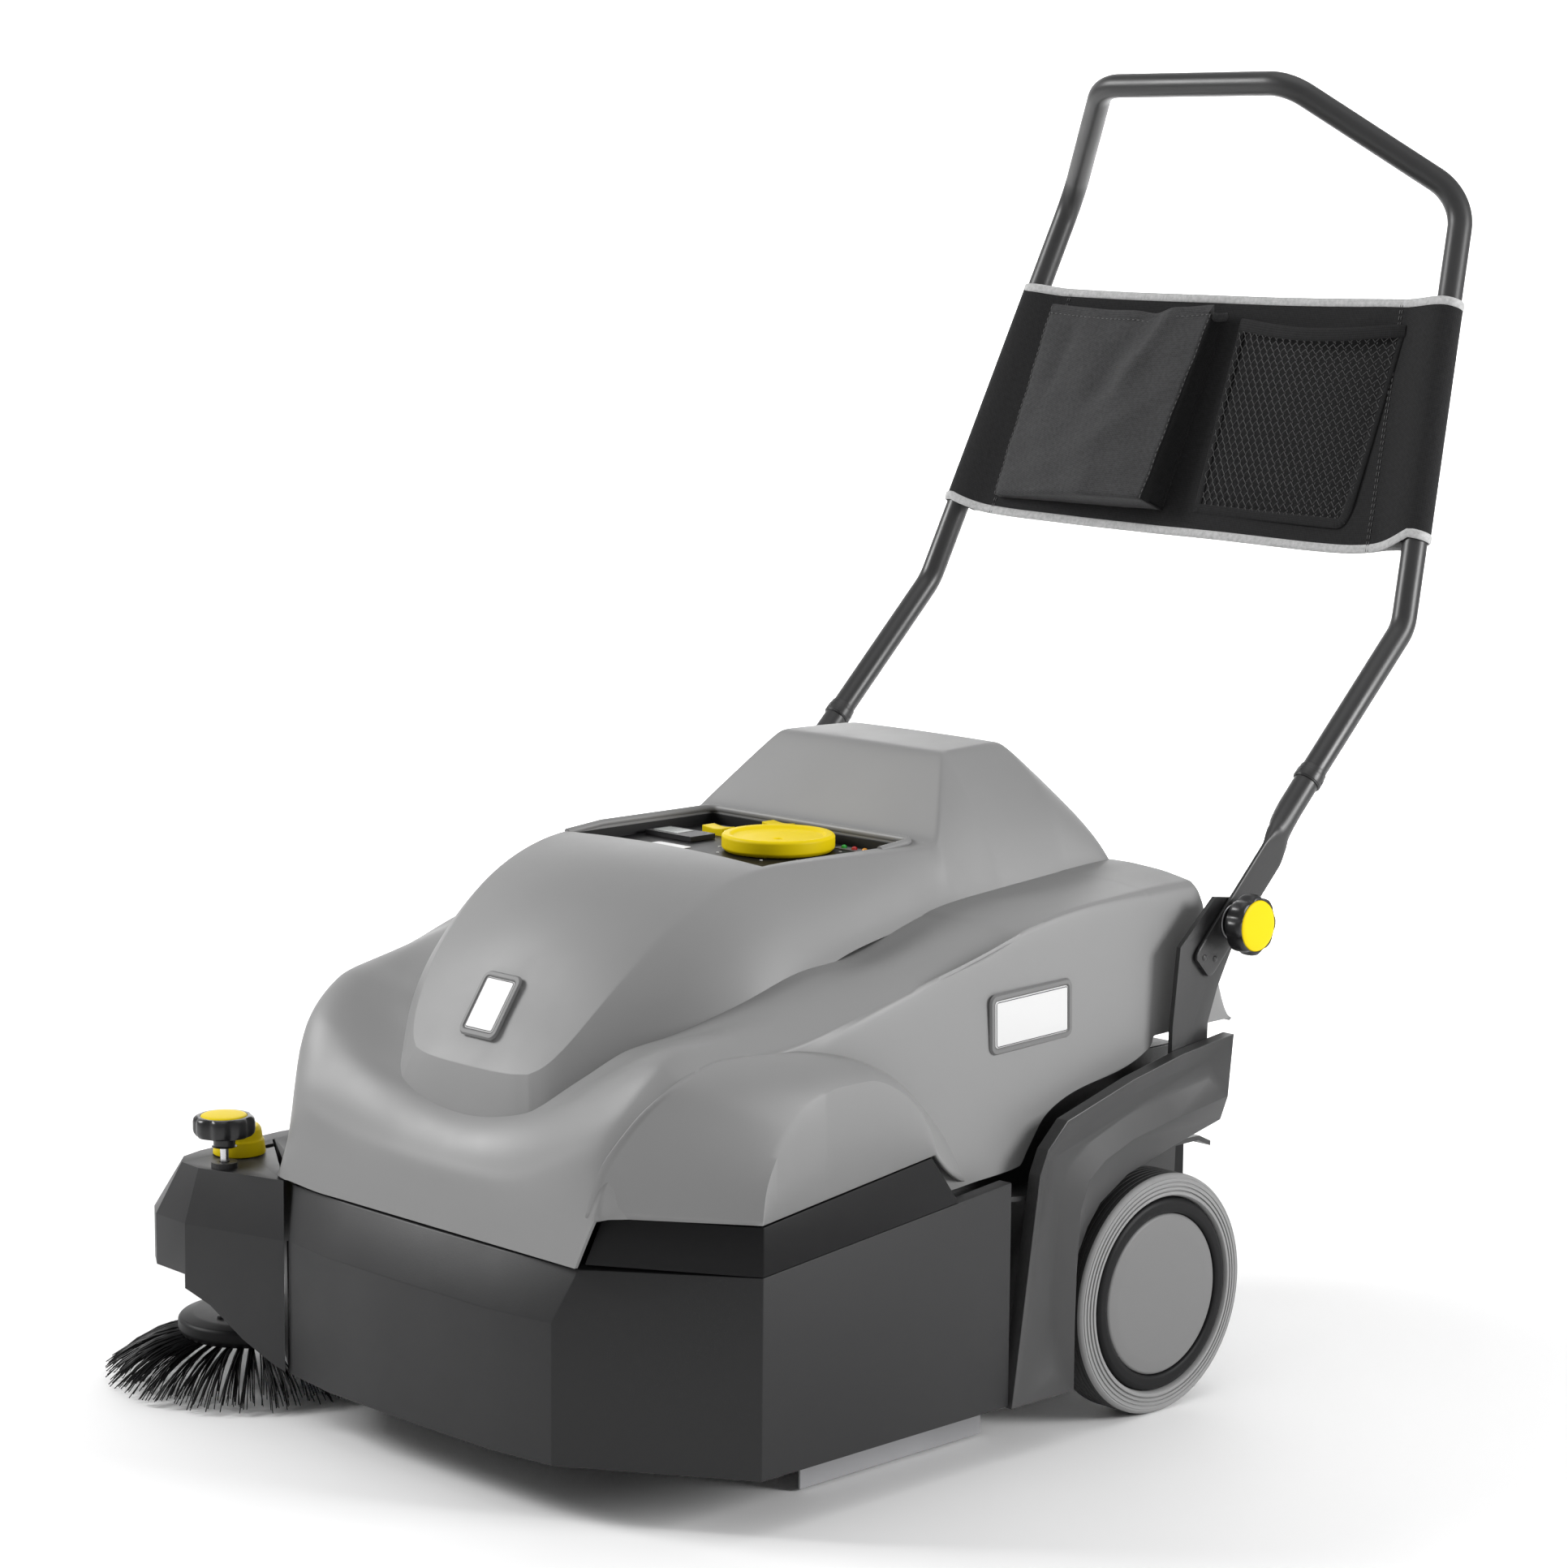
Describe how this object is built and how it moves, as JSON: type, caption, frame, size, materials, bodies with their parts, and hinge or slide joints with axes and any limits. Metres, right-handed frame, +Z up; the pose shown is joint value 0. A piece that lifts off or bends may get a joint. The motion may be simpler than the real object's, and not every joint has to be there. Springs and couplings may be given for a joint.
{
  "type": "walk-behind sweeper",
  "caption": "Walk-behind floor sweeper with hinged hood, folding tube handle with a pocketed fabric bag, roller brush, side brush and a slide-out waste container.",
  "frame": {"origin": "centre of the bounding box on the floor", "axes": "+Z up, front of the machine towards -Y, the machine's left side towards +X"},
  "size_m": [0.7458, 1.0724, 1.1027],
  "materials": {
    "hood_grey_plastic": "fine-textured moulded plastic",
    "anthracite_plastic": "fine-textured moulded plastic",
    "black_plastic": "smooth moulded plastic",
    "yellow_plastic": "smooth moulded plastic",
    "black_powder_coat": "satin powder coat",
    "zinc_plated_steel": "bright zinc plating",
    "grey_tyre_rubber": "matt solid rubber",
    "hub_cap_grey": "fine-textured moulded plastic",
    "black_rubber": "matt rubber",
    "seal_rubber": "translucent grey rubber",
    "charcoal_fabric": "woven nylon",
    "black_bristle": "tufted plastic bristle",
    "white_plate": "printed plate",
    "battery_case": "moulded plastic",
    "filter_paper": "pleated filter medium",
    "cast_aluminium": "as cast"
  },
  "bodies": {
    "chassis": {"front_base": "anthracite_plastic", "side_brush_housing": "anthracite_plastic", "corner_band_left": "black_plastic", "fender_left": "anthracite_plastic", "fender_right": "anthracite_plastic", "chassis_frame": "black_powder_coat", "hood_hinge_pin": "zinc_plated_steel", "roller_motor": "black_powder_coat", "battery": "battery_case", "fan_housing": "black_plastic", "fan_motor": "black_powder_coat", "filter_cartridge": "filter_paper", "handle_bracket_left": "black_powder_coat", "handle_bracket_right": "black_powder_coat", "side_seal_left": "seal_rubber", "side_seal_right": "seal_rubber", "front_seal": "black_rubber"},
    "hood": {"hood_shell": "hood_grey_plastic", "console_panel": "anthracite_plastic", "hour_meter": "anthracite_plastic", "nose_plate": "white_plate", "side_plate_badge_left": "white_plate", "side_plate_badge_right": "white_plate"},
    "dial": {"brush_height_dial": "yellow_plastic"},
    "switch_main": {"main_switch": "yellow_plastic"},
    "switch_fan": {"fan_switch": "yellow_plastic"},
    "handle": {"handle_lower_left": "black_powder_coat", "handle_lower_right": "black_powder_coat", "handle_upper_tube": "black_powder_coat", "bag_panel": "charcoal_fabric", "bag_pocket": "charcoal_fabric", "bag_net_pocket": "charcoal_fabric"},
    "clamp_left": {"clamp_knob_left": "black_plastic", "clamp_knob_insert_left": "yellow_plastic", "clamp_washer_left": "zinc_plated_steel"},
    "clamp_right": {"clamp_knob_right": "black_plastic", "clamp_knob_insert_right": "yellow_plastic", "clamp_washer_right": "zinc_plated_steel"},
    "wheel_left": {"tyre_left": "grey_tyre_rubber", "wheel_rim_left": "black_plastic", "hub_cap_left": "hub_cap_grey"},
    "wheel_right": {"tyre_right": "grey_tyre_rubber", "wheel_rim_right": "black_plastic", "hub_cap_right": "hub_cap_grey"},
    "castor": {"castor_fork": "zinc_plated_steel"},
    "castor_roller": {"castor_wheel": "black_rubber"},
    "rocker": {"brush_rocker": "black_powder_coat", "drive_belt": "black_rubber"},
    "roller": {"roller_core": "anthracite_plastic", "roller_bristles": "black_bristle"},
    "pulley": {"motor_pulley": "zinc_plated_steel"},
    "impeller": {"fan_impeller": "cast_aluminium"},
    "container": {"waste_container": "black_plastic"},
    "brush_lift": {"side_brush_motor": "black_powder_coat", "side_brush_lift_cap": "yellow_plastic"},
    "side_brush": {"side_brush_hub": "black_plastic", "side_brush_bristles": "black_bristle"},
    "adjuster": {"adjuster_knob": "black_plastic", "adjuster_knob_insert": "yellow_plastic"}
  },
  "joints": [
    {"name": "hood_hinge", "type": "hinge", "parent": "chassis", "child": "hood", "pos_m": [0.0521, 0.1718, 0.333], "axis": [1, 0, 0], "range_deg": [-55, 0]},
    {"name": "handle_fold", "type": "hinge", "parent": "chassis", "child": "handle", "pos_m": [0.0521, 0.1558, 0.4], "axis": [1, 0, 0], "range_deg": [0, 105]},
    {"name": "clamp_turn_left", "type": "hinge", "parent": "handle", "child": "clamp_left", "pos_m": [0.3571, 0.1558, 0.4], "axis": [1, 0, 0], "range_deg": [0, 360]},
    {"name": "clamp_turn_right", "type": "hinge", "parent": "handle", "child": "clamp_right", "pos_m": [-0.2529, 0.1558, 0.4], "axis": [-1, 0, 0], "range_deg": [0, 360]},
    {"name": "wheel_left_spin", "type": "hinge", "parent": "chassis", "child": "wheel_left", "pos_m": [0.3311, 0.0678, 0.1005], "axis": [1, 0, 0], "continuous": true},
    {"name": "wheel_right_spin", "type": "hinge", "parent": "chassis", "child": "wheel_right", "pos_m": [-0.2269, 0.0678, 0.1005], "axis": [1, 0, 0], "continuous": true},
    {"name": "castor_swivel", "type": "hinge", "parent": "chassis", "child": "castor", "pos_m": [0.0521, -0.3962, 0.1], "axis": [0, 0, 1], "continuous": true},
    {"name": "castor_spin", "type": "hinge", "parent": "castor", "child": "castor_roller", "pos_m": [0.0521, -0.3782, 0.03], "axis": [1, 0, 0], "continuous": true},
    {"name": "roller_float", "type": "hinge", "parent": "chassis", "child": "rocker", "pos_m": [0.0521, -0.3062, 0.15], "axis": [1, 0, 0], "range_deg": [0, 8]},
    {"name": "roller_spin", "type": "hinge", "parent": "rocker", "child": "roller", "pos_m": [0.0521, -0.1762, 0.087], "axis": [1, 0, 0], "continuous": true},
    {"name": "pulley_spin", "type": "hinge", "parent": "chassis", "child": "pulley", "pos_m": [-0.1769, -0.3062, 0.15], "axis": [1, 0, 0], "continuous": true},
    {"name": "impeller_spin", "type": "hinge", "parent": "chassis", "child": "impeller", "pos_m": [0.0521, 0.0318, 0.368], "axis": [0, 0, 1], "continuous": true},
    {"name": "container_slide", "type": "slide", "parent": "chassis", "child": "container", "axis": [0, 1, 0], "range_m": [0, 0.35]},
    {"name": "side_brush_lift", "type": "slide", "parent": "chassis", "child": "brush_lift", "axis": [0, 0, 1], "range_m": [0, 0.015]},
    {"name": "side_brush_spin", "type": "hinge", "parent": "brush_lift", "child": "side_brush", "pos_m": [-0.2479, -0.4112, 0.05], "axis": [0, 0, 1], "continuous": true},
    {"name": "adjuster_turn", "type": "hinge", "parent": "chassis", "child": "adjuster", "pos_m": [-0.1949, -0.4762, 0.235], "axis": [0, 0, 1], "range_deg": [0, 360]},
    {"name": "dial_turn", "type": "hinge", "parent": "hood", "child": "dial", "pos_m": [0.0781, -0.1102, 0.463], "axis": [0, 0, 1], "range_deg": [0, 270]},
    {"name": "main_switch_rock", "type": "hinge", "parent": "hood", "child": "switch_main", "pos_m": [-0.0179, -0.0872, 0.4575], "axis": [0, 1, 0], "range_deg": [-4, 4]},
    {"name": "fan_switch_rock", "type": "hinge", "parent": "hood", "child": "switch_fan", "pos_m": [0.0301, -0.0632, 0.4575], "axis": [0, 1, 0], "range_deg": [-4, 4]}
  ],
  "couplings": [
    {"joint": "pulley_spin", "follows": "roller_spin", "ratio": 2.44}
  ]
}
